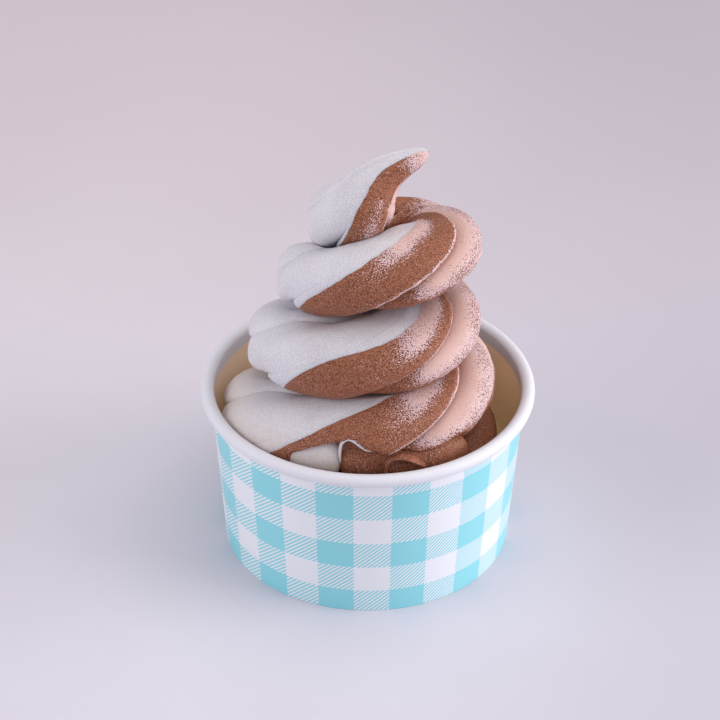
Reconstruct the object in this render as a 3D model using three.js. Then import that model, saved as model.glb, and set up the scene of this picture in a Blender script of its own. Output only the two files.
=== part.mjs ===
// Twist soft serve in a paper cup, in millimetres, +Z up, front towards -Y.
// Vanilla and chocolate leave one star-shaped nozzle side by side. The rope is laid in turns that climb
// from the cup's floor, each turn pressing on the one below, and is pulled off to a leaning tip.
import * as THREE from 'three';
import { ParametricGeometry } from 'three/addons/geometries/ParametricGeometry.js';

// Cup: a tapered paper wall, rolled outwards at the rim and folded in at the foot round the floor's skirt
const CUP_HEIGHT = 50.6;
const RIM_RADIUS = 47.5;
const ROLL_RADIUS = 1.9;
const FOOT_RADIUS = 41.4;
const WALL_SLOPE = 0.069;
const PAPER = 0.7;
const HEM_HEIGHT = 5.5;
const FLOOR_TOP = 6.9;
const GAP = 0.3;
const CUP_SIDES = 64;

// Rope: stations along it, counted in turns, with a whole number at the front of each turn.
// ring is the radius of its turn, half its half width, right and back the drift of the turn's middle,
// and twist how far the rope has rolled about its own line, in degrees.
const LAY = [
  { turn: -0.62, ring: 18.7, height: 15.6, half: 7.9, right: 0.0, back: 0.0, twist: 0 },
  { turn: -0.35, ring: 21.7, height: 18.6, half: 13.3, right: 0.0, back: 0.0, twist: 0 },
  { turn: 0.1, ring: 23.6, height: 32.2, half: 14.8, right: 0.0, back: -1.0, twist: -3 },
  { turn: 0.5, ring: 22.7, height: 37.8, half: 15.3, right: -0.5, back: -2.6, twist: -4 },
  { turn: 0.75, ring: 27.4, height: 41.0, half: 15.3, right: -0.5, back: -3.2, twist: -5 },
  { turn: 1.0, ring: 23.1, height: 47.9, half: 15.3, right: -0.1, back: -3.9, twist: -4 },
  { turn: 1.6, ring: 21.6, height: 63.0, half: 14.3, right: 0.0, back: -3.2, twist: 0 },
  { turn: 2.2, ring: 18.1, height: 72.6, half: 13.8, right: 0.2, back: -2.5, twist: 3 },
  { turn: 2.75, ring: 15.5, height: 86.4, half: 13.2, right: 2.1, back: -1.8, twist: 0.7 },
  { turn: 3.05, ring: 15.0, height: 94.6, half: 12.9, right: 3.8, back: -1.4, twist: -5 },
  { turn: 3.22, ring: 15.8, height: 97.0, half: 11.6, right: 4.2, back: -1.2, twist: -2 },
  { turn: 3.45, ring: 15.4, height: 95.8, half: 11.3, right: 3.5, back: -0.9, twist: 7.1 },
  { turn: 3.75, ring: 9.2, height: 104.9, half: 11.6, right: 3.3, back: -0.7, twist: 21.8 },
  { turn: 4.0, ring: 2.2, height: 116.5, half: 8.1, right: 0.6, back: -4.5, twist: 24.4 },
  { turn: 4.1, ring: 2.5, height: 121.7, half: 5.0, right: 4.0, back: -3.6, twist: 25 },
  { turn: 4.2, ring: 4.4, height: 126.8, half: 0.9, right: 11.3, back: -2.1, twist: 25 },
];
const LEAN = 0.26; // how much higher each turn rides at the front, for each millimetre of its radius
const STEPS_PER_TURN = 23;

// Where vanilla meets chocolate as the rope is laid, as a nozzle direction in degrees
const MEETING = [
  { turn: -0.62, nozzle: -124 },
  { turn: 0.85, nozzle: -119 },
  { turn: 0.96, nozzle: -129 },
  { turn: 1.1, nozzle: -117 },
  { turn: 1.6, nozzle: -112 },
  { turn: 1.84, nozzle: -110 },
  { turn: 1.92, nozzle: -130 },
  { turn: 2.06, nozzle: -115 },
  { turn: 2.5, nozzle: -114 },
  { turn: 2.86, nozzle: -124 },
  { turn: 3.06, nozzle: -131 },
  { turn: 3.4, nozzle: -131 },
  { turn: 3.9, nozzle: -130 },
  { turn: 4.03, nozzle: -134 },
  { turn: 4.1, nozzle: -150 },
  { turn: 4.2, nozzle: -160 },
];
const FAR_MEETING = 56; // nozzle direction where they meet on the other side, in degrees

// Section of the rope: rounded lobes from the nozzle's teeth. The lobes on both sides of the first valley are
// wider than the others, and that valley closes up on the side of the swirl that faces front and right.
const VALLEYS = [-134, -64, -15.7, 32.7, 92.4, 152].map((angle) => THREE.MathUtils.degToRad(angle));
const WANDER = THREE.MathUtils.degToRad(24); // how much lower the last valley runs at the left of the swirl
const LOBE_DEPTH = 0.36;
const TIP_DEPTH = 0.12; // the lobes smooth out where the rope is pulled off
const LOBE_ROUNDNESS = 0.6; // below 1, a lobe is fuller and its valleys are narrower
const LOBE_SAG = 1.5; // above 1, a lobe's nose lies nearer to the valley after it
const CLOSED_SHARE = 0.92;
const CLOSED_WIDTH = 0.5;
const CLOSED_TOWARDS = THREE.MathUtils.degToRad(-45);
const COLUMN_WIDTH = THREE.MathUtils.degToRad(8);
const HEIGHT_SHARE = 0.76; // the section's height as a share of its width
const OUTWARD_STRETCH = 0.38; // how far the outer face is spread by its own weight
const SQUARENESS = 2.1;
const TIP_FROM = 3.4; // the turn after which the section eases to the plain star of the nozzle

const FLAVOUR_GAP = 0.5;
const TURN_GAP = 2;
const PRESS_AHEAD = 0.3; // turns between a stretch of rope and the first one that can lie on it
const FULL = 2 * Math.PI;

const TURN_START = LAY[0].turn;
const TURN_END = LAY.at(-1).turn;
const STEPS = Math.round((TURN_END - TURN_START) * STEPS_PER_TURN);

function wallOuter(height) {
  return FOOT_RADIUS + WALL_SLOPE * height;
}

function wallInner(height) {
  return wallOuter(height) - PAPER;
}

// The slope of a station's value, weighted by the distance to the stations on both sides
function slope(stations, key, k) {
  const before = stations[Math.max(k - 1, 0)];
  const here = stations[k];
  const after = stations[Math.min(k + 1, stations.length - 1)];
  if (before === here) return (after[key] - here[key]) / (after.turn - here.turn);
  if (after === here) return (here[key] - before[key]) / (here.turn - before.turn);
  const spanBefore = here.turn - before.turn;
  const spanAfter = after.turn - here.turn;
  const slopeBefore = (here[key] - before[key]) / spanBefore;
  const slopeAfter = (after[key] - here[key]) / spanAfter;
  return (slopeBefore * spanAfter + slopeAfter * spanBefore) / (spanBefore + spanAfter);
}

// A station's value at any turn, on a smooth curve through the stations
function along(stations, key, turn) {
  const next = stations.findIndex((station) => station.turn > turn);
  const k = next < 0 ? stations.length - 2 : Math.max(next - 1, 0);
  const span = stations[k + 1].turn - stations[k].turn;
  const t = (turn - stations[k].turn) / span;
  const s = 1 - t;
  const value = (1 + 2 * t) * s * s * stations[k][key] + (1 + 2 * s) * t * t * stations[k + 1][key];
  return value + span * (t * s * s * slope(stations, key, k) - t * t * s * slope(stations, key, k + 1));
}

function ropeCentre(turn) {
  const azimuth = FULL * (turn - 0.25);
  const ring = along(LAY, 'ring', turn);
  const x = along(LAY, 'right', turn) + ring * Math.cos(azimuth);
  const y = along(LAY, 'back', turn) + ring * Math.sin(azimuth);
  const z = along(LAY, 'height', turn) - LEAN * ring * Math.sin(azimuth);
  return new THREE.Vector3(x, y, z);
}

// The rope's cut at one turn: its middle, its direction, its two axes and its size
function cutAt(turn) {
  const nearby = 0.001;
  const centre = ropeCentre(turn);
  const tangent = ropeCentre(turn + nearby).sub(ropeCentre(turn - nearby)).normalize();
  const side = new THREE.Vector3(tangent.y, -tangent.x, 0).normalize();
  const up = new THREE.Vector3().crossVectors(side, tangent);
  const half = along(LAY, 'half', turn);
  const laid = 1 - THREE.MathUtils.clamp((turn - TIP_FROM) / (TURN_END - TIP_FROM), 0, 1);
  const facing = Math.atan2(side.y, side.x) - THREE.MathUtils.degToRad(along(LAY, 'twist', turn));
  return { turn, centre, tangent, side, up, half, laid, facing, edges: lobeEdges(facing, laid) };
}

// The nozzle directions of the valleys round the whole section, from the first one to the first one again
function lobeEdges(facing, laid) {
  const edges = [...VALLEYS, VALLEYS[0] + FULL];
  const atLeft = THREE.MathUtils.smoothstep(-Math.cos(facing), 0.8, 1);
  edges[VALLEYS.length - 1] += WANDER * atLeft * THREE.MathUtils.smoothstep(laid, 0.6, 1);
  return edges;
}

// The star of the nozzle: 1 on the nose of a lobe, less in the valleys between
function star(cut, nozzle) {
  const fromFirst = THREE.MathUtils.euclideanModulo(nozzle - VALLEYS[0], FULL);
  const after = cut.edges.findIndex((edge, k) => k === VALLEYS.length || edge - VALLEYS[0] > fromFirst);
  const fromEdge = fromFirst + VALLEYS[0] - cut.edges[after - 1];
  const across = THREE.MathUtils.clamp(fromEdge / (cut.edges[after] - cut.edges[after - 1]), 0, 1);
  const lobe = Math.abs(Math.sin(Math.PI * across ** LOBE_SAG)) ** LOBE_ROUNDNESS;
  const near = Math.min(fromFirst, FULL - fromFirst);
  const closing = THREE.MathUtils.smoothstep(Math.cos(cut.facing - CLOSED_TOWARDS), -0.8, -0.1);
  const closed = CLOSED_SHARE * closing * Math.exp(-((near / CLOSED_WIDTH) ** 2));
  const depth = THREE.MathUtils.lerp(TIP_DEPTH, LOBE_DEPTH, cut.laid);
  return 1 - depth * (1 - lobe) * (1 - closed);
}

// How far the lobes' noses reach at an angle round the section
function reach(cut, angle) {
  const power = Math.abs(Math.cos(angle)) ** SQUARENESS + Math.abs(Math.sin(angle)) ** SQUARENESS;
  const square = power ** (-1 / SQUARENESS);
  return cut.half * (1 + (square - 1) * cut.laid);
}

function flatness(cut) {
  return 1 + (HEIGHT_SHARE - 1) * cut.laid;
}

function pointOnCut(cut, x, y) {
  return cut.centre.clone().addScaledVector(cut.side, x).addScaledVector(cut.up, y);
}

// The surface point that left the nozzle in one direction
function surfacePoint(cut, nozzle) {
  const plain = cut.facing - nozzle;
  const angle = plain + OUTWARD_STRETCH * cut.laid * Math.sin(plain);
  const radius = reach(cut, angle) * star(cut, nozzle);
  return pointOnCut(cut, radius * Math.cos(angle), radius * Math.sin(angle) * flatness(cut));
}

function mix(a, b, t) {
  return {
    centre: a.centre.clone().lerp(b.centre, t),
    side: a.side.clone().lerp(b.side, t).normalize(),
    up: a.up.clone().lerp(b.up, t).normalize(),
    half: THREE.MathUtils.lerp(a.half, b.half, t),
    laid: THREE.MathUtils.lerp(a.laid, b.laid, t),
  };
}

// A point that a later stretch of rope lies on gives way to that rope's underside
function pressed(point, turn, cuts) {
  for (let k = 0; k < STEPS; k += 1) {
    if (cuts[k].turn < turn + PRESS_AHEAD) continue;
    const ahead = point.clone().sub(cuts[k].centre).dot(cuts[k].tangent);
    const behind = point.clone().sub(cuts[k + 1].centre).dot(cuts[k + 1].tangent);
    if (ahead < 0 || behind >= 0) continue;
    const cut = mix(cuts[k], cuts[k + 1], ahead / (ahead - behind));
    const offset = point.clone().sub(cut.centre);
    const x = offset.dot(cut.side);
    const y = offset.dot(cut.up) / flatness(cut);
    const angle = Math.atan2(y, x);
    const clear = reach(cut, angle) + TURN_GAP;
    if (Math.hypot(x, y) >= clear) continue;
    point.copy(pointOnCut(cut, clear * Math.cos(angle), clear * Math.sin(angle) * flatness(cut)));
  }
  return point;
}

// A point stays clear of the cup's floor and wall
function insideCup(point) {
  point.z = Math.max(point.z, FLOOR_TOP + GAP);
  const limit = wallInner(point.z) - GAP;
  const radius = Math.hypot(point.x, point.y);
  if (point.z < CUP_HEIGHT && radius > limit) {
    point.x *= limit / radius;
    point.y *= limit / radius;
  }
  return point;
}

const cuts = Array.from({ length: STEPS + 1 }, (_, k) => {
  return cutAt(TURN_START + ((TURN_END - TURN_START) * k) / STEPS);
});

function meetingAt(turn) {
  return THREE.MathUtils.degToRad(along(MEETING, 'nozzle', turn));
}

// The edges of each flavour's lobes at one cut, from one meeting line to the other
const FAR_EDGE = THREE.MathUtils.degToRad(FAR_MEETING);
const THIN_EDGE = THREE.MathUtils.degToRad(3);
function chocolateEdges({ turn, edges }) {
  return [meetingAt(turn), edges[1], edges[2], edges[3], FAR_EDGE];
}
function vanillaEdges({ turn, edges }) {
  const meeting = meetingAt(turn) + FULL;
  return [FAR_EDGE, edges[4], edges[5], Math.min(edges[6], meeting - THIN_EDGE), meeting];
}

// The nozzle directions of a flavour's columns, with an even spacing between the edges of its lobes
function directions(edges, counts) {
  const spaced = edges.slice(1).flatMap((edge, lobe) => {
    const before = edges[lobe];
    return Array.from({ length: counts[lobe] }, (_, k) => before + ((edge - before) * k) / counts[lobe]);
  });
  return [...spaced, edges.at(-1)];
}

// One flavour: its half of the rope's outline, closed along the meeting line through the middle.
// Both ends of the rope close to a point.
function flavourGeometry(edgesAt) {
  const edges = edgesAt(cuts[0]);
  const counts = edges.slice(1).map((edge, lobe) => {
    return Math.max(1, Math.round((edge - edges[lobe]) / COLUMN_WIDTH));
  });
  const last = counts.reduce((sum, count) => sum + count, 0);
  const ring = last + 2;
  const middle = (edges[0] + edges.at(-1)) / 2;
  const rows = cuts.map((cut) => directions(edgesAt(cut), counts));
  const place = (u, v, target) => {
    const k = Math.round(v * STEPS);
    const column = Math.round(u * ring) % ring;
    const cut = cuts[k];
    const inwards = cut.facing - middle;
    const own = cut.side.clone().multiplyScalar(Math.cos(inwards)).addScaledVector(cut.up, Math.sin(inwards));
    const end = k === 0 || k === STEPS;
    const onMeetingLine = end || column === 0 || column >= last;
    const isMiddle = end || column > last;
    const point = isMiddle ? cut.centre.clone() : pressed(surfacePoint(cut, rows[k][column]), cut.turn, cuts);
    if (onMeetingLine) point.addScaledVector(own, FLAVOUR_GAP / 2);
    target.copy(insideCup(point));
  };
  return new ParametricGeometry(place, ring, STEPS);
}

// A closed outline of radius and height, turned round the cup's axis
function turned(outline) {
  return new THREE.LatheGeometry(outline, CUP_SIDES).rotateX(Math.PI / 2);
}

function corner(radius, height) {
  return new THREE.Vector2(radius, height);
}

// The rim's roll, from below its outside over the top to its inside
function rollArc() {
  const steps = 9;
  const middle = corner(RIM_RADIUS - ROLL_RADIUS, CUP_HEIGHT - ROLL_RADIUS);
  const from = THREE.MathUtils.degToRad(-115);
  const sweep = THREE.MathUtils.degToRad(280);
  return Array.from({ length: steps + 1 }, (_, k) => {
    const angle = from + (sweep * k) / steps;
    return corner(middle.x + ROLL_RADIUS * Math.cos(angle), middle.y + ROLL_RADIUS * Math.sin(angle));
  });
}

function wallGeometry() {
  const neck = CUP_HEIGHT - 2.6 * ROLL_RADIUS;
  const slotWidth = PAPER + 2 * GAP;
  const hemOuter = PAPER + slotWidth;
  const hemInner = hemOuter + PAPER;
  const outline = [
    corner(wallOuter(0), 0),
    corner(wallOuter(neck / 2), neck / 2),
    corner(wallOuter(neck), neck),
    ...rollArc(),
    corner(wallInner(neck), neck),
    corner(wallInner(neck / 2), neck / 2),
    corner(wallInner(PAPER), PAPER),
    corner(wallOuter(PAPER) - hemOuter, PAPER),
    corner(wallOuter(HEM_HEIGHT) - hemOuter, HEM_HEIGHT),
    corner(wallOuter(HEM_HEIGHT) - hemInner, HEM_HEIGHT),
    corner(wallOuter(0) - hemInner, 0),
    corner(wallOuter(0), 0),
  ];
  return turned(outline);
}

function floorGeometry() {
  const skirtFoot = PAPER + GAP;
  const skirtOuter = (height) => wallInner(height) - GAP;
  const skirtInner = (height) => skirtOuter(height) - PAPER;
  const underside = FLOOR_TOP - PAPER;
  const outline = [
    corner(0, underside),
    corner(skirtInner(underside), underside),
    corner(skirtInner(skirtFoot), skirtFoot),
    corner(skirtOuter(skirtFoot), skirtFoot),
    corner(skirtOuter(FLOOR_TOP), FLOOR_TOP),
    corner(0, FLOOR_TOP),
  ];
  return turned(outline);
}

function piece(name, geometry, color, roughness) {
  const material = new THREE.MeshStandardMaterial({ color, roughness, metalness: 0 });
  const mesh = new THREE.Mesh(geometry, material);
  mesh.name = name;
  return mesh;
}

const group = new THREE.Group();
group.add(piece('cup_wall', wallGeometry(), '#9fdcdc', 0.4));
group.add(piece('cup_floor', floorGeometry(), '#f1efee', 0.5));
group.add(piece('chocolate', flavourGeometry(chocolateEdges), '#94604a', 0.6));
group.add(piece('vanilla', flavourGeometry(vanillaEdges), '#e8e3e1', 0.6));

export default group;
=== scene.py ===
"""Twist soft serve in a gingham paper cup: surfaces, light and camera, in metres, +Z up, front to -Y."""
import math

import bpy
import numpy as np
from mathutils import Matrix, Vector, noise


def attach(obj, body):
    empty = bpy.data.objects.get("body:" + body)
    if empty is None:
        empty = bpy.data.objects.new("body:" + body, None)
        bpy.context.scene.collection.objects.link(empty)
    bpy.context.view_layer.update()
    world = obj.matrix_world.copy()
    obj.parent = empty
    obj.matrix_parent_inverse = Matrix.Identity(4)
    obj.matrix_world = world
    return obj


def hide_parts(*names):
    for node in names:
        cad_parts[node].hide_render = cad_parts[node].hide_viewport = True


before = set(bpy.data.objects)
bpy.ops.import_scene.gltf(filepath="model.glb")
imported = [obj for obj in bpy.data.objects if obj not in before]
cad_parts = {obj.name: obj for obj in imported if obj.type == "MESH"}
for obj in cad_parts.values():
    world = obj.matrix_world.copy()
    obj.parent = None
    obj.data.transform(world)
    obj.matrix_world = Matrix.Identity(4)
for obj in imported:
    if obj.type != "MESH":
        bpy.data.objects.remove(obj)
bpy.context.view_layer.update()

MM = 0.001
FULL = 2 * math.pi

# Cup, in millimetres: a tapered paper wall, rolled outwards at the rim and folded in at the foot
CUP_HEIGHT = 50.6
RIM_RADIUS = 47.5
ROLL_RADIUS = 1.9
FOOT_RADIUS = 41.4
WALL_SLOPE = 0.069
PAPER = 0.7
HEM_HEIGHT = 5.5
HEM_SLOT = 1.3
FLOOR_TOP = 6.9
WALL_CLEARANCE = 0.15
CUP_SIDES = 192
WALL_STEPS = 12
ROLL_STEPS = 30
ROLL_START = math.radians(-115)
ROLL_END = math.radians(165)
NECK = CUP_HEIGHT - 2.6 * ROLL_RADIUS
UNDER_ROLL = CUP_HEIGHT - 2 * ROLL_RADIUS
PRINT_RISE = 0.3

# The wall's papers, in the order of its materials
GINGHAM, WHITE, CREAM = range(3)

# Gingham: columns counted round the cup, rows counted down from the first dark one
COLUMNS_ROUND = 26
COLUMN_EDGE = math.radians(-4.67)
ROW_HEIGHT = 8.73
ROW_EDGE = 42.5
HATCH_RISE = 0.89
HATCH_STEP = 1.29

# Rope of soft serve: stations along it, counted in turns, with a whole number at the front of each turn.
# ring is the radius of its turn, half its half width, right and back the drift of the turn's middle,
# and twist how far the rope has rolled about its own line, in degrees.
KEYS = ("turn", "ring", "height", "half", "right", "back", "twist")
LAY = np.array([
    (-0.62, 18.7, 15.6, 7.9, 0.0, 0.0, 0),
    (-0.35, 21.7, 18.6, 13.3, 0.0, 0.0, 0),
    (0.1, 23.6, 32.2, 14.8, 0.0, -1.0, -3),
    (0.5, 22.7, 37.8, 15.3, -0.5, -2.6, -4),
    (0.75, 27.4, 41.0, 15.3, -0.5, -3.2, -5),
    (1.0, 23.1, 47.9, 15.3, -0.1, -3.9, -4),
    (1.6, 21.6, 63.0, 14.3, 0.0, -3.2, 0),
    (2.2, 18.1, 72.6, 13.8, 0.2, -2.5, 3),
    (2.75, 15.5, 86.4, 13.2, 2.1, -1.8, 0.7),
    (3.05, 15.0, 94.6, 12.9, 3.8, -1.4, -5),
    (3.22, 15.8, 97.0, 11.6, 4.2, -1.2, -2),
    (3.45, 15.4, 95.8, 11.3, 3.5, -0.9, 7.1),
    (3.75, 9.2, 104.9, 11.6, 3.3, -0.7, 21.8),
    (4.0, 2.2, 116.5, 8.1, 0.6, -4.5, 24.4),
    (4.1, 2.5, 121.7, 5.0, 4.0, -3.6, 25),
    (4.2, 4.4, 126.8, 2.0, 11.3, -2.1, 25),
])
LEAN = 0.26
STEPS_PER_TURN = 150

# Where vanilla meets chocolate as the rope is laid: the turn, and a nozzle direction in degrees
MEETING = np.array([
    (-0.62, -124),
    (0.85, -119),
    (0.96, -129),
    (1.1, -117),
    (1.6, -112),
    (1.84, -110),
    (1.92, -130),
    (2.06, -115),
    (2.5, -114),
    (2.86, -124),
    (3.06, -131),
    (3.4, -131),
    (3.9, -130),
    (4.03, -134),
    (4.1, -150),
    (4.2, -160),
])
FAR_MEETING = math.radians(56)
THIN_EDGE = math.radians(3)
MEETING_WOBBLE = math.radians(1.6)

# Section of the rope: rounded lobes from the nozzle's teeth. The lobes on both sides of the first valley
# are wider than the others, and that valley closes up on the side of the swirl that faces front and right.
# At the left of the swirl the last valley, between the two vanilla lobes, is shallow, and the lobe below
# the first valley has a blunt shoulder.
VALLEYS = np.radians([-134, -64, -15.7, 32.7, 92.4, 152])
WANDER = math.radians(24)
LOBE_DEPTH = 0.36
TIP_DEPTH = 0.12
LOBE_ROUNDNESS = 0.6
SHOULDER_ROUNDNESS = 0.25
LOBE_SAG = 1.5
CREST = 0.8
CLOSED_SHARE = 0.92
CLOSED_WIDTH = 0.5
CLOSED_TOWARDS = math.radians(-45)
SHALLOW_SHARE = 0.6
COLUMN_WIDTH = math.radians(2)
HEIGHT_SHARE = 0.76
OUTWARD_STRETCH = 0.38
SQUARENESS = 2.1
TIP_FROM = 3.4
TIP_ROUNDING = 0.035
TIP_BLUNTNESS = 0.96
END_FADE = 0.2
FLAVOUR_GAP = 0.04
TURN_GAP = 0.1
PRESS_AHEAD = 0.3
PRESS_STEPS_PER_TURN = 46

# First fold of cream, at the front of the cup under the lowest full turn. The crease above it is given as
# places across and heights on that turn's skin. A strand's stations are x, y, z, half width and half depth.
CREASE = np.array([
    (-20, 52.3),
    (-13.3, 55.8),
    (-7, 57.9),
    (-3.7, 58.2),
    (-0.3, 56.2),
    (3, 55.5),
    (7.1, 53.2),
    (11, 52.6),
    (15.3, 52.0),
    (19.4, 52.4),
    (25.5, 53.9),
])
DENT = 4.0
DENT_EDGE = 1.4
VANILLA_FOLD = (
    (-27, -28.4, 46.4, 6.0, 3.0),
    (-21, -32.4, 47.9, 6.0, 3.6),
    (-15, -34.9, 49.1, 6.2, 3.8),
    (-11.5, -36.3, 49.6, 6.2, 3.4),
    (-7, -36.2, 49.6, 6.0, 3.2),
)
CHOCOLATE_FOLD = (
    (-8, -36.0, 48.5, 6.2, 3.6),
    (-3, -35.8, 48.8, 6.4, 4.2),
    (2, -35.4, 48.0, 6.4, 4.2),
    (7, -35.0, 47.0, 6.0, 4.0),
    (13, -33.5, 46.5, 6.0, 4.2),
    (20, -31.0, 46.5, 6.5, 4.4),
    (27, -26.0, 46.5, 6.5, 4.4),
)
CURL = (
    (5.1, -38.6, 45.5, 0.6, 1.4),
    (5.4, -39.1, 49.8, 0.6, 1.5),
    (6.5, -39.1, 51.8, 0.6, 1.5),
    (8.7, -39.1, 52.4, 0.6, 1.5),
    (11.4, -38.9, 51.8, 0.6, 1.5),
    (13.6, -38.5, 50.4, 0.6, 1.4),
    (16.0, -37.5, 48.2, 0.6, 1.2),
)
RIBBON = (
    (-7.4, -38.2, 49.0, 0.5, 0.9),
    (-7.4, -38.5, 53.6, 0.5, 0.9),
    (-6.8, -38.8, 56.6, 0.5, 0.9),
    (-5.1, -39.1, 58.1, 0.5, 0.9),
    (-3.2, -39.6, 57.6, 0.6, 0.9),
    (-1.6, -40.2, 56.5, 0.5, 0.9),
    (0.0, -40.9, 55.7, 0.3, 0.6),
    (2.0, -41.0, 55.5, 0.2, 0.4),
)
STRAND_STEPS = 90
STRAND_SIDES = 48
STRAND_BLUNTNESS = 8

# Unevenness of the laid rope: broad lumps and small ones, as size and height in millimetres
LUMPS = ((9.0, 0.25), (3.2, 0.09), (1.1, 0.035))


def wall_outer(height):
    return FOOT_RADIUS + WALL_SLOPE * height


def wall_inner(height):
    return wall_outer(height) - PAPER


def smooth(value, low, high):
    """A soft step from 0 at low to 1 at high."""
    t = np.clip((value - low) / (high - low), 0, 1)
    return t * t * (3 - 2 * t)


def along(stations, column, turn):
    """A station's value at any turn, on a smooth curve through the stations."""
    turns = stations[:, 0]
    values = stations[:, column]
    spans = np.diff(turns)
    rises = np.diff(values) / spans
    middle = (rises[:-1] * spans[1:] + rises[1:] * spans[:-1]) / (spans[:-1] + spans[1:])
    slopes = np.concatenate([rises[:1], middle, rises[-1:]])
    k = np.clip(np.searchsorted(turns, turn, side="right") - 1, 0, len(turns) - 2)
    span = spans[k]
    t = (turn - turns[k]) / span
    s = 1 - t
    value = (1 + 2 * t) * s * s * values[k] + (1 + 2 * s) * t * t * values[k + 1]
    return value + span * (t * s * s * slopes[k] - t * t * s * slopes[k + 1])


def laid_at(key, turn):
    return along(LAY, KEYS.index(key), turn)


def rope_centre(turn):
    azimuth = FULL * (turn - 0.25)
    ring = laid_at("ring", turn)
    x = laid_at("right", turn) + ring * np.cos(azimuth)
    y = laid_at("back", turn) + ring * np.sin(azimuth)
    z = laid_at("height", turn) - LEAN * ring * np.sin(azimuth)
    return np.stack([x, y, z], axis=-1)


def unit(vectors):
    return vectors / np.linalg.norm(vectors, axis=-1, keepdims=True)


def rope_cuts(steps_per_turn):
    """The rope's cuts from its start to its tip: middles, directions, axes and sizes."""
    steps = round((LAY[-1, 0] - LAY[0, 0]) * steps_per_turn)
    turn = np.linspace(LAY[0, 0], LAY[-1, 0], steps + 1)
    nearby = 0.001
    tangent = unit(rope_centre(turn + nearby) - rope_centre(turn - nearby))
    side = unit(np.stack([tangent[:, 1], -tangent[:, 0], np.zeros(len(turn))], axis=-1))
    laid = 1 - np.clip((turn - TIP_FROM) / (LAY[-1, 0] - TIP_FROM), 0, 1)
    facing = np.arctan2(side[:, 1], side[:, 0]) - np.radians(laid_at("twist", turn))
    to_end = np.clip(1 - (LAY[-1, 0] - turn) / TIP_ROUNDING, 0, 1)
    return {
        "turn": turn,
        "centre": rope_centre(turn),
        "tangent": tangent,
        "side": side,
        "up": np.cross(side, tangent),
        "half": laid_at("half", turn) * np.sqrt(1 - TIP_BLUNTNESS * to_end ** 2),
        "laid": laid,
        "facing": facing,
        "edges": lobe_edges(facing, laid),
    }


def lobe_edges(facing, laid):
    """The nozzle directions of the valleys round each cut. The last one runs lower at the swirl's left."""
    edges = np.tile(np.append(VALLEYS, VALLEYS[0] + FULL), (len(facing), 1))
    edges[:, len(VALLEYS) - 1] += WANDER * smooth(-np.cos(facing), 0.8, 1) * smooth(laid, 0.6, 1)
    return edges


def lobe_place(edges, nozzle):
    """How far across its lobe a nozzle direction lies, from 0 in one valley to 1 in the next."""
    nearby = 1e-9
    direction = VALLEYS[0] + np.mod(nozzle - VALLEYS[0] + nearby, FULL)
    place = np.zeros_like(direction)
    for before, after in zip(edges.T[:-1], edges.T[1:]):
        share = (direction - before[:, None]) / (after - before)[:, None]
        place = np.where((share >= 0) & (share <= 1), share, place)
    return place


def star(cuts, nozzle):
    """The nozzle's star: 1 on a lobe's nose, less in the valleys. Chocolate lobes have a crisp crest."""
    facing = cuts["facing"][:, None]
    at_left = smooth(-np.cos(facing), 0.2, 0.8)
    place = lobe_place(cuts["edges"], nozzle)
    from_first = np.mod(nozzle - VALLEYS[0], FULL)
    crisp = np.where(place < CREST, place / CREST, 1 + (place - CREST) / (1 - CREST)) / 2
    chocolate = from_first < VALLEYS[3] - VALLEYS[0]
    across = np.where(chocolate, crisp, place ** LOBE_SAG)
    shoulder = (from_first < VALLEYS[1] - VALLEYS[0]) & (place < CREST)
    roundness = LOBE_ROUNDNESS + (SHOULDER_ROUNDNESS - LOBE_ROUNDNESS) * at_left * shoulder
    lobe = np.abs(np.sin(math.pi * across)) ** roundness
    near = np.minimum(from_first, FULL - from_first)
    closing = smooth(np.cos(facing - CLOSED_TOWARDS), -0.7, 0.0)
    closed = CLOSED_SHARE * closing * np.exp(-((near / CLOSED_WIDTH) ** 2))
    from_last = nozzle - cuts["edges"][:, len(VALLEYS) - 1, None]
    shallow = SHALLOW_SHARE * at_left * np.exp(-((from_last / CLOSED_WIDTH) ** 2))
    depth = TIP_DEPTH + (LOBE_DEPTH - TIP_DEPTH) * cuts["laid"][:, None]
    return 1 - depth * (1 - lobe) * (1 - closed) * (1 - shallow)


def reach(half, laid, angle):
    """How far the lobes' noses reach at an angle round the section."""
    power = np.abs(np.cos(angle)) ** SQUARENESS + np.abs(np.sin(angle)) ** SQUARENESS
    return half * (1 + (power ** (-1 / SQUARENESS) - 1) * laid)


def flatness(laid):
    return 1 + (HEIGHT_SHARE - 1) * laid


def rope_surface(cuts, nozzle):
    """The points of the rope's skin, one row for each cut and one column for each nozzle direction."""
    laid = cuts["laid"][:, None]
    plain = cuts["facing"][:, None] - nozzle
    angle = plain + OUTWARD_STRETCH * laid * np.sin(plain)
    radius = reach(cuts["half"][:, None], laid, angle) * star(cuts, nozzle)
    outwards = (radius * np.cos(angle))[..., None] * cuts["side"][:, None, :]
    upwards = (radius * np.sin(angle) * flatness(laid))[..., None] * cuts["up"][:, None, :]
    return cuts["centre"][:, None, :] + outwards + upwards


def meeting_at(turn):
    """Where vanilla meets chocolate, with the small wobble of two creams that flow side by side."""
    wobble = [noise.noise((t * 30, 0.5, 2.5)) + 0.6 * noise.noise((t * 90, 4.5, 2.5)) for t in turn]
    return np.radians(along(MEETING, 1, turn)) + MEETING_WOBBLE * np.array(wobble)


def chocolate_edges(cuts):
    """The edges of the chocolate lobes at each cut, from one meeting line to the other."""
    far = np.full_like(cuts["turn"], FAR_MEETING)
    return [meeting_at(cuts["turn"]), *cuts["edges"].T[1:4], far]


def vanilla_edges(cuts):
    """The edges of the vanilla lobes at each cut, from one meeting line to the other."""
    far = np.full_like(cuts["turn"], FAR_MEETING)
    meeting = meeting_at(cuts["turn"]) + FULL
    last_valley = np.minimum(cuts["edges"].T[6], meeting - THIN_EDGE)
    return [far, *cuts["edges"].T[4:6], last_valley, meeting]


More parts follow.
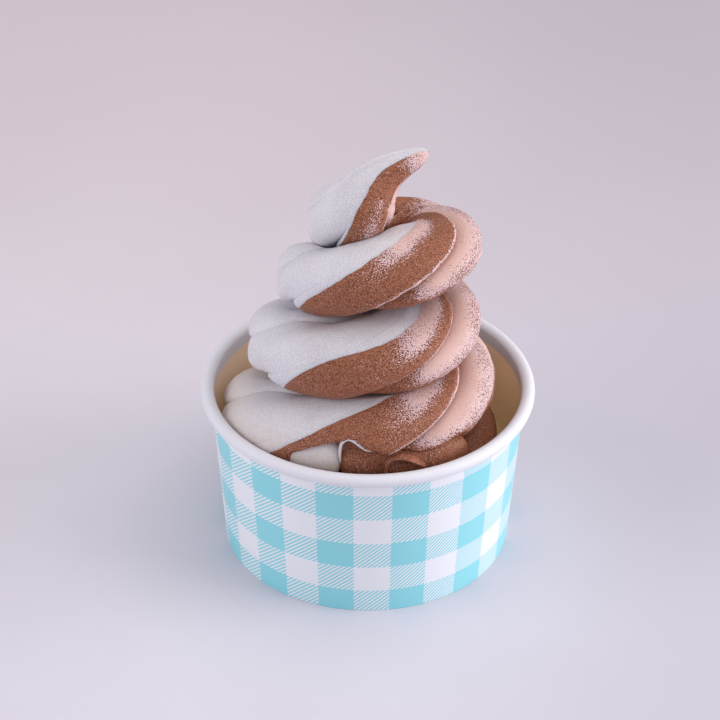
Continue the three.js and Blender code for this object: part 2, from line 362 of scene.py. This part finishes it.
def directions(edges):
    """The nozzle directions of a flavour's columns, and the columns that lie in a valley."""
    columns = []
    valleys = []
    for before, after in zip(edges[:-1], edges[1:]):
        count = max(2, round(float(np.mean(after - before)) / COLUMN_WIDTH))
        valleys.append(len(columns))
        columns.extend(before + (after - before) * k / count for k in range(count))
    columns.append(edges[-1])
    return np.stack(columns, axis=1), valleys


def press(points, turn, later):
    """Points that a later stretch of rope lies on give way to that rope's underside."""
    for k in range(len(later["turn"]) - 1):
        rows = np.searchsorted(turn, later["turn"][k] - PRESS_AHEAD, side="right")
        below = points[:rows]
        ahead = (below - later["centre"][k]) @ later["tangent"][k]
        behind = (below - later["centre"][k + 1]) @ later["tangent"][k + 1]
        between = (ahead >= 0) & (behind < 0)
        if not between.any():
            continue
        t = (ahead[between] / (ahead[between] - behind[between]))[:, None]
        cut = {}
        for key in ("centre", "side", "up"):
            cut[key] = (1 - t) * later[key][k] + t * later[key][k + 1]
        half = (1 - t[:, 0]) * later["half"][k] + t[:, 0] * later["half"][k + 1]
        laid = (1 - t[:, 0]) * later["laid"][k] + t[:, 0] * later["laid"][k + 1]
        offset = below[between] - cut["centre"]
        x = np.sum(offset * cut["side"], axis=1)
        y = np.sum(offset * cut["up"], axis=1) / flatness(laid)
        angle = np.arctan2(y, x)
        radius = np.maximum(np.hypot(x, y), reach(half, laid, angle) + TURN_GAP)
        moved = cut["centre"] + (radius * np.cos(angle))[:, None] * cut["side"]
        below[between] = moved + (radius * np.sin(angle) * flatness(laid))[:, None] * cut["up"]


def keep_in_cup(points):
    """Points stay clear of the cup's floor and wall."""
    points[..., 2] = np.maximum(points[..., 2], FLOOR_TOP + WALL_CLEARANCE)
    radius = np.hypot(points[..., 0], points[..., 1])
    limit = wall_inner(points[..., 2]) - WALL_CLEARANCE
    share = np.where((points[..., 2] < CUP_HEIGHT) & (radius > limit), limit / radius, 1)
    points[..., :2] *= share[..., None]


def give_way(points, turn):
    """The lowest full turn is dented at its front, where the first fold lies under it."""
    x, y, z = np.moveaxis(points, -1, 0)
    below = smooth(np.interp(x, *CREASE.T) - z, 0, DENT_EDGE)
    here = smooth(x, -22, -17) * (1 - smooth(x, 26, 30)) * smooth(-y, 26, 34)
    lowest = ((turn > 0.6) & (turn < 1.5))[:, None]
    points[..., 1] += DENT * below * here * lowest


def lump(point):
    return sum(height * noise.noise(Vector(point) / size) for size, height in LUMPS)


def add_piece(name, points, faces, slot, *materials):
    """A mesh piece in metres from points in millimetres, which moves with the part."""
    mesh = bpy.data.meshes.new(name)
    mesh.from_pydata((np.asarray(points) * MM).tolist(), [], faces)
    mesh.update()
    mesh.shade_smooth()
    piece = bpy.data.objects.new(name, mesh)
    bpy.context.scene.collection.objects.link(piece)
    for material in materials:
        mesh.materials.append(material)
    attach(piece, "root")
    return piece


def closed_tube(ring):
    """Points and faces of a tube through rows of points, closed at both ends."""
    rows, columns = ring.shape[:2]
    points = np.concatenate([ring.reshape(-1, 3), ring[0].mean(0)[None], ring[-1].mean(0)[None]])
    faces = []
    for k in range(rows - 1):
        for c in range(columns):
            d = (c + 1) % columns
            faces.append((k * columns + c, k * columns + d, (k + 1) * columns + d, (k + 1) * columns + c))
    start = rows * columns
    last = (rows - 1) * columns
    for c in range(columns):
        d = (c + 1) % columns
        faces.append((start, d, c))
        faces.append((start + 1, last + c, last + d))
    return points, faces


def add_strand(name, stations, slot, material):
    """A strand of cream at the front of the cup, rounded off at both ends. Where it faces up it is paler:
    partly frost, partly a painted highlight from the light above.
    """
    table = np.column_stack([np.arange(len(stations)), stations])
    run = np.linspace(0, len(stations) - 1, STRAND_STEPS)
    x, y, z, half, deep = [along(table, column, run) for column in range(1, 6)]
    centre = np.stack([x, y, z], axis=-1)
    tangent = unit(np.gradient(centre, axis=0))
    outwards = np.array([0, -1, 0])
    out = unit(outwards - (tangent @ outwards)[:, None] * tangent)
    across = np.cross(out, tangent)
    near_end = 0.99
    to_end = np.abs(np.linspace(-near_end, near_end, STRAND_STEPS))
    rounding = np.sqrt(1 - to_end ** STRAND_BLUNTNESS)
    angle = FULL * np.arange(STRAND_SIDES) / STRAND_SIDES
    spread = (deep * rounding)[:, None, None] * np.cos(angle)[None, :, None] * out[:, None, :]
    spread = spread + (half * rounding)[:, None, None] * np.sin(angle)[None, :, None] * across[:, None, :]
    ring = centre[:, None, :] + spread
    heights = np.array([[lump(point) for point in row] for row in ring])
    ring += unit(spread) * (heights * np.minimum(1, half / 2)[:, None])[..., None]
    keep_in_cup(ring)
    piece = add_piece(name, *closed_tube(ring), slot, material)
    normals = np.zeros(len(piece.data.vertices) * 3)
    piece.data.vertices.foreach_get("normal", normals)
    up = normals[2::3]
    # Painted highlight, partly frost: paler where the strand faces up, toward the light above
    share = 0.75 * smooth(up, 0.15, 0.75)
    piece.data.attributes.new("frost_and_highlight", "FLOAT", "POINT").data.foreach_set("value", share)


def add_flavour(name, edges_at, slot, material):
    """One flavour: its half of the rope, closed along the meeting line through the middle."""
    cuts = rope_cuts(STEPS_PER_TURN)
    nozzle, valleys = directions(edges_at(cuts))
    skin = rope_surface(cuts, nozzle)
    press(skin, cuts["turn"], rope_cuts(PRESS_STEPS_PER_TURN))
    outwards = unit(skin - cuts["centre"][:, None, :])
    heights = np.array([[lump(point) for point in row] for row in skin])
    to_nearer_end = np.minimum(cuts["turn"] - LAY[0, 0], LAY[-1, 0] - cuts["turn"])
    fade = np.minimum(1, to_nearer_end / END_FADE)
    skin += outwards * (heights * fade[:, None])[..., None]
    inwards = cuts["facing"] - np.mean(nozzle)
    own = np.cos(inwards)[:, None] * cuts["side"] + np.sin(inwards)[:, None] * cuts["up"]
    skin[:, 0] += own * FLAVOUR_GAP / 2
    skin[:, -1] += own * FLAVOUR_GAP / 2
    ring = np.concatenate([skin, (cuts["centre"] + own * FLAVOUR_GAP / 2)[:, None, :]], axis=1)
    give_way(ring, cuts["turn"])
    keep_in_cup(ring)
    rows, columns = ring.shape[:2]
    points, faces = closed_tube(ring)
    piece = add_piece(name, points, faces, slot, material)
    sharpen(piece.data, columns, [*valleys, columns - 2])
    place = np.ones((rows + 1, columns))
    place[:-1, :-1] = lobe_place(cuts["edges"], nozzle)
    wide = np.zeros((rows + 1, columns), bool)
    wide[:-1, :-1] = nozzle < cuts["edges"][:, 1:2]
    at_meeting = place[:-1, :1]
    from_meeting = (place[:-1] - at_meeting) / (1 - at_meeting)
    place[:-1] = np.where(wide[:-1], from_meeting, place[:-1])
    turns = np.repeat(np.append(cuts["turn"], LAY[-1, 0]), columns)
    count = len(points)
    mark_frost_and_highlight(piece.data, place.ravel()[:count], wide.ravel()[:count], turns[:count])
    return piece


def sharpen(mesh, columns, crisp):
    """The edges along the valleys, and where the skin turns into the meeting line, stay crisp."""
    sharp = mesh.attributes.new("sharp_edge", "BOOLEAN", "EDGE")
    corners = np.zeros(len(mesh.edges) * 2, int)
    mesh.edges.foreach_get("vertices", corners)
    a, b = np.sort(corners.reshape(-1, 2), axis=1).T
    sharp.data.foreach_set("value", (b - a == columns) & np.isin(a % columns, crisp))


def mark_frost_and_highlight(mesh, place, wide, turn):
    """How pale each point is: partly frost and partly a painted highlight, pale where the surface faces up
    and at the right of the swirl, toward the light: beside the vanilla on the wide lobe, and over most
    of the other lobes. A thin painted highlight runs along the lobes' lower edges. On the tip a faint
    painted highlight streaks down the middle, and frost covers the very end. All fade out at rim height."""
    count = len(mesh.vertices)
    points = np.zeros(count * 3)
    mesh.vertices.foreach_get("co", points)
    normals = np.zeros(count * 3)
    mesh.vertices.foreach_get("normal", normals)
    x = points[0::3] / MM
    up = normals[2::3]
    raised = smooth(points[2::3] / MM, 50, 57)
    higher = smooth(turn, 2.3, 2.8)
    start = 2 - 6 * higher
    width = 0.35 - 0.2 * higher
    # Painted highlight, partly frost: pale where the surface faces up, at the right of the swirl
    beside = 0.92 * smooth(up, -0.35, 0.2) * (1 - smooth(place - width, 0, 0.35)) * smooth(x - start, 0, 14)
    # Painted highlight: a faint pale streak down the middle of the tip
    streak_highlight = 0.45 * np.exp(-((place - 0.5) / 0.18) ** 2) * (1 - smooth(turn, 4.0, 4.08))
    very_end = 0.8 * smooth(turn, 4.12, 4.17)
    on_wide = np.where(turn < 3.6, beside, np.maximum(streak_highlight, very_end))
    # Painted highlight, partly frost: pale on the other lobes where they face up, at the swirl's right
    on_others = (1.1 - 0.45 * smooth(place, 0.2, 0.6)) * (1 - smooth(place, 0.74, 0.99))
    on_others *= smooth(up, -0.7, -0.1) * np.maximum(smooth(x, 8, 18), smooth(turn, 3.6, 3.8))
    # Painted highlight: a thin pale line along the lobes' lower edges
    edge_highlight = 0.9 * np.exp(-((place - 0.85) / 0.035) ** 2) * smooth(x, -6, 4)
    share = np.maximum(np.where(wide, on_wide, on_others), edge_highlight) * raised
    mesh.attributes.new("frost_and_highlight", "FLOAT", "POINT").data.foreach_set("value", share)


def turned(name, outline, slot, materials, kind_of):
    """A closed outline of radius and height, turned round the axis. kind_of gives a strip's material."""
    angles = FULL * np.arange(CUP_SIDES) / CUP_SIDES
    outline = np.asarray(outline)
    count = len(outline)
    points = [(r * math.cos(a), r * math.sin(a), z) for a in angles for r, z in outline]
    faces = []
    kinds = []
    for k in range(CUP_SIDES):
        m = (k + 1) % CUP_SIDES
        for c in range(count):
            d = (c + 1) % count
            faces.append((k * count + c, m * count + c, m * count + d, k * count + d))
            kinds.append(kind_of(outline[c], outline[d]))
    piece = add_piece(name, points, faces, slot, *materials)
    piece.data.polygons.foreach_set("material_index", kinds)
    piece.data.set_sharp_from_angle(angle=math.radians(40))
    return piece


def cup_outline():
    """The wall's cut: outside, roll, inside, and the hem folded in at the foot."""
    outside = [(wall_outer(z), z) for z in np.linspace(0, NECK, WALL_STEPS)]
    inside = [(wall_inner(z), z) for z in np.linspace(NECK, PAPER, WALL_STEPS)]
    roll = []
    for angle in np.linspace(ROLL_START, ROLL_END, ROLL_STEPS):
        r = RIM_RADIUS - ROLL_RADIUS + ROLL_RADIUS * math.cos(angle)
        z = CUP_HEIGHT - ROLL_RADIUS + ROLL_RADIUS * math.sin(angle)
        roll.append((r, z))
    hem_outer = PAPER + HEM_SLOT
    hem_inner = hem_outer + PAPER
    hem = [
        (wall_outer(PAPER) - hem_outer, PAPER),
        (wall_outer(HEM_HEIGHT) - hem_outer, HEM_HEIGHT),
        (wall_outer(HEM_HEIGHT) - hem_inner, HEM_HEIGHT),
        (wall_outer(0) - hem_inner, 0),
    ]
    return outside + roll + inside + hem


def strip_kind(a, b):
    """The paper that a strip of the wall shows: print outside below the roll, cream inside, else white."""
    low, high = sorted((a[1], b[1]))
    nearly = 0.01
    outside = all(radius > wall_outer(height) - nearly for radius, height in (a, b))
    if outside and high < UNDER_ROLL + PRINT_RISE:
        return GINGHAM
    return CREAM if high < UNDER_ROLL and low > HEM_HEIGHT else WHITE


def linear(code):
    """An sRGB hex colour as linear red, green, blue and alpha."""
    channels = [int(code[k:k + 2], 16) / 255 for k in (1, 3, 5)]
    curve = [c / 12.92 if c <= 0.04045 else ((c + 0.055) / 1.055) ** 2.4 for c in channels]
    return (*curve, 1)


def new_material(name):
    material = bpy.data.materials.new(name)
    material.use_nodes = True
    material.node_tree.nodes.clear()
    return material, material.node_tree


def add(tree, kind, inputs=None, **settings):
    """Adds one node with its settings, and fills its inputs with values or with other nodes' outputs."""
    made = tree.nodes.new(kind)
    for name, value in settings.items():
        setattr(made, name, value)
    for socket, value in (inputs or {}).items():
        if isinstance(value, bpy.types.Node):
            tree.links.new(value.outputs[0], made.inputs[socket])
        elif isinstance(value, bpy.types.NodeSocket):
            tree.links.new(value, made.inputs[socket])
        else:
            made.inputs[socket].default_value = value
    return made


def chocolate_soft_serve():
    """Frozen chocolate cream pulled from a nozzle: a fine icy grain, and frost that breaks into specks. The
    pale frost colour is partly a painted highlight.
    """
    material, tree = new_material("chocolate soft serve, extruded and frosted")
    place = add(tree, "ShaderNodeTexCoord").outputs["Object"]
    grain_size = 0.32 * MM
    grain = add(tree, "ShaderNodeTexNoise", {"Vector": place, "Scale": 1 / grain_size, "Detail": 1.0})
    patch_size = 7 * MM
    patch = add(tree, "ShaderNodeTexNoise", {"Vector": place, "Scale": 1 / patch_size, "Detail": 3.0})
    tone = add(tree, "ShaderNodeValToRGB", {"Fac": grain})
    tone.color_ramp.elements[0].position = 0.36
    tone.color_ramp.elements[0].color = linear("#623521")
    tone.color_ramp.elements[1].position = 0.54
    tone.color_ramp.elements[1].color = linear("#A4694D")
    frost_and_highlight = add(tree, "ShaderNodeAttribute", attribute_name="frost_and_highlight").outputs["Fac"]
    uneven = add(tree, "ShaderNodeMath", {0: patch, 1: 0.5, 2: -0.25}, operation="MULTIPLY_ADD")
    patchy = add(tree, "ShaderNodeMath", {0: frost_and_highlight, 1: uneven}, operation="ADD")
    speck = add(tree, "ShaderNodeMath", {0: grain, 1: 2.4, 2: -1.2}, operation="MULTIPLY_ADD")
    specked = add(tree, "ShaderNodeMath", {0: patchy, 1: speck}, operation="ADD")
    covered = {"Value": specked, "From Min": 0.4, "From Max": 0.72, "To Max": 0.95}
    cover = add(tree, "ShaderNodeMapRange", covered)
    # Pale colour from the mesh's mark: partly frost, partly painted highlight
    pale = add(tree, "ShaderNodeValToRGB", {"Fac": frost_and_highlight})
    pale.color_ramp.elements[0].position = 0.6
    pale.color_ramp.elements[0].color = linear("#E4C8CA")
    pale.color_ramp.elements[1].position = 1.0
    pale.color_ramp.elements[1].color = linear("#DEBAB0")
    colour = add(tree, "ShaderNodeMix", {0: cover, 6: tone, 7: pale}, data_type="RGBA")
    relief = add(tree, "ShaderNodeBump", {"Strength": 0.3, "Distance": 0.2 * MM, "Height": grain})
    shader = add(tree, "ShaderNodeBsdfPrincipled", {
        "Base Color": colour.outputs[2],
        "Roughness": 0.6,
        "IOR": 1.36,
        "Subsurface Weight": 0.15,
        "Subsurface Radius": (1.0, 0.5, 0.35),
        "Subsurface Scale": 1.5 * MM,
        "Normal": relief,
    })
    add(tree, "ShaderNodeOutputMaterial", {"Surface": shader})
    return material


def vanilla_soft_serve():
    """Frozen vanilla cream pulled from a nozzle: cool, dense white with icy specks. Low in the cup it is
    smoother, and warmer with painted warm light bounced off the cream paper."""
    material, tree = new_material("vanilla soft serve, extruded")
    place = add(tree, "ShaderNodeTexCoord").outputs["Object"]
    grain_size = 0.35 * MM
    grain = add(tree, "ShaderNodeTexNoise", {"Vector": place, "Scale": 1 / grain_size, "Detail": 2.0})
    cloud_size = 14 * MM
    cloud = add(tree, "ShaderNodeTexNoise", {"Vector": place, "Scale": 1 / cloud_size, "Detail": 3.0})
    tone = add(tree, "ShaderNodeValToRGB", {"Fac": cloud})
    tone.color_ramp.elements[0].position = 0.3
    tone.color_ramp.elements[0].color = linear("#CBC7CB")
    tone.color_ramp.elements[1].position = 0.7
    tone.color_ramp.elements[1].color = linear("#D7D4D8")
    height = add(tree, "ShaderNodeSeparateXYZ", {0: place}).outputs["Z"]
    fall = {"Value": height, "From Min": 62 * MM, "From Max": 44 * MM}
    low = add(tree, "ShaderNodeMapRange", fall, interpolation_type="SMOOTHSTEP")
    # Painted bounce light: warmer low in the cup, where light comes back off the cream paper
    warm_bounce = add(tree, "ShaderNodeMix", {0: low, 6: tone, 7: linear("#D3C4B9")}, data_type="RGBA")
    sparkle = {"Value": grain, "From Min": 0.46, "From Max": 0.66, "To Max": 0.6}
    icy = add(tree, "ShaderNodeMapRange", sparkle)
    dry = add(tree, "ShaderNodeMath", {0: low, 1: -0.8, 2: 1.0}, operation="MULTIPLY_ADD")
    specks = add(tree, "ShaderNodeMath", {0: icy, 1: dry}, operation="MULTIPLY")
    frozen = {0: specks, 6: warm_bounce.outputs[2], 7: linear("#F3F2F8")}
    colour = add(tree, "ShaderNodeMix", frozen, data_type="RGBA")
    relief = add(tree, "ShaderNodeBump", {"Strength": 0.5, "Distance": 0.2 * MM, "Height": grain})
    shader = add(tree, "ShaderNodeBsdfPrincipled", {
        "Base Color": colour.outputs[2],
        "Roughness": 0.5,
        "IOR": 1.36,
        "Subsurface Weight": 0.5,
        "Subsurface Radius": (1.0, 0.85, 0.75),
        "Subsurface Scale": 4 * MM,
        "Normal": relief,
    })
    add(tree, "ShaderNodeOutputMaterial", {"Surface": shader})
    return material


def coated_paper(name, code, roughness, glow):
    """Paper board under a thin coat: smooth, with faintly uneven fibre. glow is how much light soaks in."""
    material, tree = new_material(name)
    place = add(tree, "ShaderNodeTexCoord").outputs["Object"]
    fibre_size = 1.2 * MM
    fibre = add(tree, "ShaderNodeTexNoise", {"Vector": place, "Scale": 1 / fibre_size, "Detail": 3.0})
    light = linear(code)
    dark = tuple(0.96 * channel for channel in light[:3]) + (1,)
    tone = add(tree, "ShaderNodeMix", {0: fibre, 6: light, 7: dark}, data_type="RGBA")
    relief = add(tree, "ShaderNodeBump", {"Strength": 0.06, "Distance": 0.1 * MM, "Height": fibre})
    shader = add(tree, "ShaderNodeBsdfPrincipled", {
        "Base Color": tone.outputs[2],
        "Roughness": roughness,
        "IOR": 1.5,
        "Subsurface Weight": glow,
        "Subsurface Radius": (1.0, 0.78, 0.52),
        "Subsurface Scale": 1.2 * MM,
        "Normal": relief,
    })
    add(tree, "ShaderNodeOutputMaterial", {"Surface": shader})
    return material


def gingham_paper():
    """Coated paper board printed with gingham: solid squares, hatched squares and bare white ones."""
    material, tree = new_material("gingham paper, printed and coated")
    place = add(tree, "ShaderNodeTexCoord").outputs["Object"]
    x, y, z = add(tree, "ShaderNodeSeparateXYZ", {0: place}).outputs
    forwards = add(tree, "ShaderNodeMath", {0: y, 1: -1.0}, operation="MULTIPLY")
    round_cup = add(tree, "ShaderNodeMath", {0: x, 1: forwards}, operation="ARCTAN2")
    column_width = FULL / COLUMNS_ROUND
    from_edge = add(tree, "ShaderNodeMath", {0: round_cup, 1: COLUMN_EDGE}, operation="SUBTRACT")
    pair = add(tree, "ShaderNodeMath", {0: from_edge, 1: 2 * column_width}, operation="DIVIDE")
    column = add(tree, "ShaderNodeMath", {0: pair}, operation="FRACT")
    dark_column = add(tree, "ShaderNodeMath", {0: column, 1: 0.5}, operation="GREATER_THAN")
    below_edge = add(tree, "ShaderNodeMath", {0: ROW_EDGE * MM, 1: z}, operation="SUBTRACT")
    row_pair = add(tree, "ShaderNodeMath", {0: below_edge, 1: 2 * ROW_HEIGHT * MM}, operation="DIVIDE")
    row = add(tree, "ShaderNodeMath", {0: row_pair}, operation="FRACT")
    dark_row = add(tree, "ShaderNodeMath", {0: row, 1: 0.5}, operation="LESS_THAN")
    solid = add(tree, "ShaderNodeMath", {0: dark_column, 1: dark_row}, operation="MULTIPLY")
    either = add(tree, "ShaderNodeMath", {0: dark_column, 1: dark_row}, operation="MAXIMUM")
    rise = wall_outer(CUP_HEIGHT / 2) * MM * HATCH_RISE
    climbed = add(tree, "ShaderNodeMath", {0: round_cup, 1: rise}, operation="MULTIPLY")
    across = add(tree, "ShaderNodeMath", {0: z, 1: climbed}, operation="SUBTRACT")
    lines = add(tree, "ShaderNodeMath", {0: across, 1: HATCH_STEP * MM}, operation="DIVIDE")
    line = add(tree, "ShaderNodeMath", {0: lines}, operation="FRACT")
    inked = add(tree, "ShaderNodeMath", {0: line, 1: 0.5}, operation="LESS_THAN")
    hatched = add(tree, "ShaderNodeMath", {0: either, 1: inked}, operation="MULTIPLY")
    ink = add(tree, "ShaderNodeMath", {0: solid, 1: hatched}, operation="MAXIMUM")
    fibre_size = 1.2 * MM
    fibre = add(tree, "ShaderNodeTexNoise", {"Vector": place, "Scale": 1 / fibre_size, "Detail": 3.0})
    print_on = {0: ink, 6: linear("#ECEEF3"), 7: linear("#8FDAE3")}
    colour = add(tree, "ShaderNodeMix", print_on, data_type="RGBA")
    relief = add(tree, "ShaderNodeBump", {"Strength": 0.06, "Distance": 0.1 * MM, "Height": fibre})
    shader = add(tree, "ShaderNodeBsdfPrincipled", {
        "Base Color": colour.outputs[2],
        "Roughness": 0.36,
        "IOR": 1.5,
        "Normal": relief,
    })
    add(tree, "ShaderNodeOutputMaterial", {"Surface": shader})
    return material


def painted_table():
    """A flat painted table top: pale lilac grey, with broad uneven patches, rosier towards the back, and
    darker towards the right with painted shade.
    """
    material, tree = new_material("table top, painted flat")
    place = add(tree, "ShaderNodeTexCoord").outputs["Object"]
    patch_size = 160 * MM
    patch = add(tree, "ShaderNodeTexNoise", {"Vector": place, "Scale": 1 / patch_size, "Detail": 4.0})
    tone = add(tree, "ShaderNodeValToRGB", {"Fac": patch})
    tone.color_ramp.elements[0].position = 0.3
    tone.color_ramp.elements[0].color = linear("#DAD5DD")
    tone.color_ramp.elements[1].position = 0.7
    tone.color_ramp.elements[1].color = linear("#E4E1E9")
    split = add(tree, "ShaderNodeSeparateXYZ", {0: place})
    back = {"Value": split.outputs["Y"], "From Min": -0.05, "From Max": 0.25, "To Min": 0.0, "To Max": 0.6}
    rosy = add(tree, "ShaderNodeMapRange", back, interpolation_type="SMOOTHSTEP")
    tinted = add(tree, "ShaderNodeMix", {0: rosy, 6: tone, 7: linear("#DACCD0")}, data_type="RGBA")
    # Painted shade: the table darkens towards the right
    right = {"Value": split.outputs["X"], "From Min": -0.1, "From Max": 0.15, "To Min": 0.0, "To Max": 0.38}
    shade_to_right = add(tree, "ShaderNodeMapRange", right, interpolation_type="SMOOTHSTEP")
    shaded = {0: shade_to_right, 6: tinted.outputs[2], 7: linear("#9F9BAA")}
    colour = add(tree, "ShaderNodeMix", shaded, data_type="RGBA")
    shader = add(tree, "ShaderNodeBsdfPrincipled", {"Base Color": colour.outputs[2], "Roughness": 0.7})
    add(tree, "ShaderNodeOutputMaterial", {"Surface": shader})
    return material


def add_table():
    half_side = 2500 * MM
    below_cup = 0.05 * MM
    corners = [(-1, -1), (1, -1), (1, 1), (-1, 1)]
    points = [(x * half_side, y * half_side, -below_cup) for x, y in corners]
    mesh = bpy.data.meshes.new("table_top")
    mesh.from_pydata(points, [], [(0, 1, 2, 3)])
    mesh.materials.append(painted_table())
    table = bpy.data.objects.new("table_top", mesh)
    bpy.context.scene.collection.objects.link(table)


def look_at(thing, place, target):
    aim = (Vector(target) - Vector(place)).to_track_quat("-Z", "Y")
    thing.matrix_world = Matrix.Translation(Vector(place)) @ aim.to_matrix().to_4x4()


def add_light(name, place, target, size, power, code):
    light = bpy.data.lights.new(name, "AREA")
    light.shape = "RECTANGLE"
    light.size, light.size_y = size
    light.energy = power
    light.color = linear(code)[:3]
    lamp = bpy.data.objects.new(name, light)
    bpy.context.scene.collection.objects.link(lamp)
    look_at(lamp, place, target)


def add_camera():
    """The photograph's view: a long lens that looks down on the cup from the front."""
    elevation = math.radians(34.21)
    distance = 735.5 * MM
    aim = Vector((0, 0, 57.3 * MM))
    frame_width = 720
    pan = 8.1
    place = aim + distance * Vector((0, -math.cos(elevation), math.sin(elevation)))
    lens = bpy.data.cameras.new("camera")
    lens.lens = 130
    lens.sensor_width = 36
    lens.shift_x = -pan / frame_width
    camera = bpy.data.objects.new("camera", lens)
    bpy.context.scene.collection.objects.link(camera)
    look_at(camera, place, aim)
    camera.matrix_world = camera.matrix_world @ Matrix.Rotation(math.radians(0.58), 4, "Z")
    bpy.context.scene.camera = camera


def add_room_light(code, strength):
    world = bpy.data.worlds.new("room")
    world.use_nodes = True
    background = world.node_tree.nodes["Background"]
    background.inputs["Color"].default_value = linear(code)
    background.inputs["Strength"].default_value = strength
    bpy.context.scene.world = world


brown_cream = chocolate_soft_serve()
white_cream = vanilla_soft_serve()
chocolate = add_flavour("chocolate_swirl", chocolate_edges, "chocolate_soft_serve", brown_cream)
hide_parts("chocolate")
vanilla = add_flavour("vanilla_swirl", vanilla_edges, "vanilla_soft_serve", white_cream)
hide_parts("vanilla")
add_strand("chocolate_fold", CHOCOLATE_FOLD, "chocolate_soft_serve", brown_cream)
add_strand("chocolate_curl", CURL, "chocolate_soft_serve", brown_cream)
add_strand("vanilla_fold", VANILLA_FOLD, "vanilla_soft_serve", white_cream)
add_strand("vanilla_ribbon", RIBBON, "vanilla_soft_serve", white_cream)

white_paper = coated_paper("white paper, coated", "#E5E5EB", 0.5, 0.0)
# The inside paper's cream tone is partly painted: it stands in for warm light bounced off the chocolate
inner_paper = coated_paper("cream paper, waxed", "#FFE6D4", 0.45, 0.6)
cup_papers = (gingham_paper(), white_paper, inner_paper)
cup = turned("paper_cup_wall", cup_outline(), "printed_paper", cup_papers, strip_kind)
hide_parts("cup_wall")

floor_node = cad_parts["cup_floor"]
floor_node.data.materials.clear()
floor_node.data.materials.append(white_paper)

add_table()
add_room_light("#E8E5EE", 0.55)
centre = (0, 0, 60 * MM)
add_light("softbox above", (0.2, 0.02, 0.73), centre, (0.7, 0.7), 2.1, "#FFF8F2")
add_light("window right", (1.0, -0.25, 0.45), centre, (0.7, 0.9), 5.5, "#F5F6FC")
add_light("white card right", (0.7, -0.05, 0.12), centre, (0.5, 0.25), 2.0, "#F5F6FC")
add_light("window left", (-1.1, -0.38, 0.5), centre, (0.9, 0.9), 6.2, "#F8F8FF")
add_camera()
bpy.context.scene.view_settings.view_transform = "Standard"
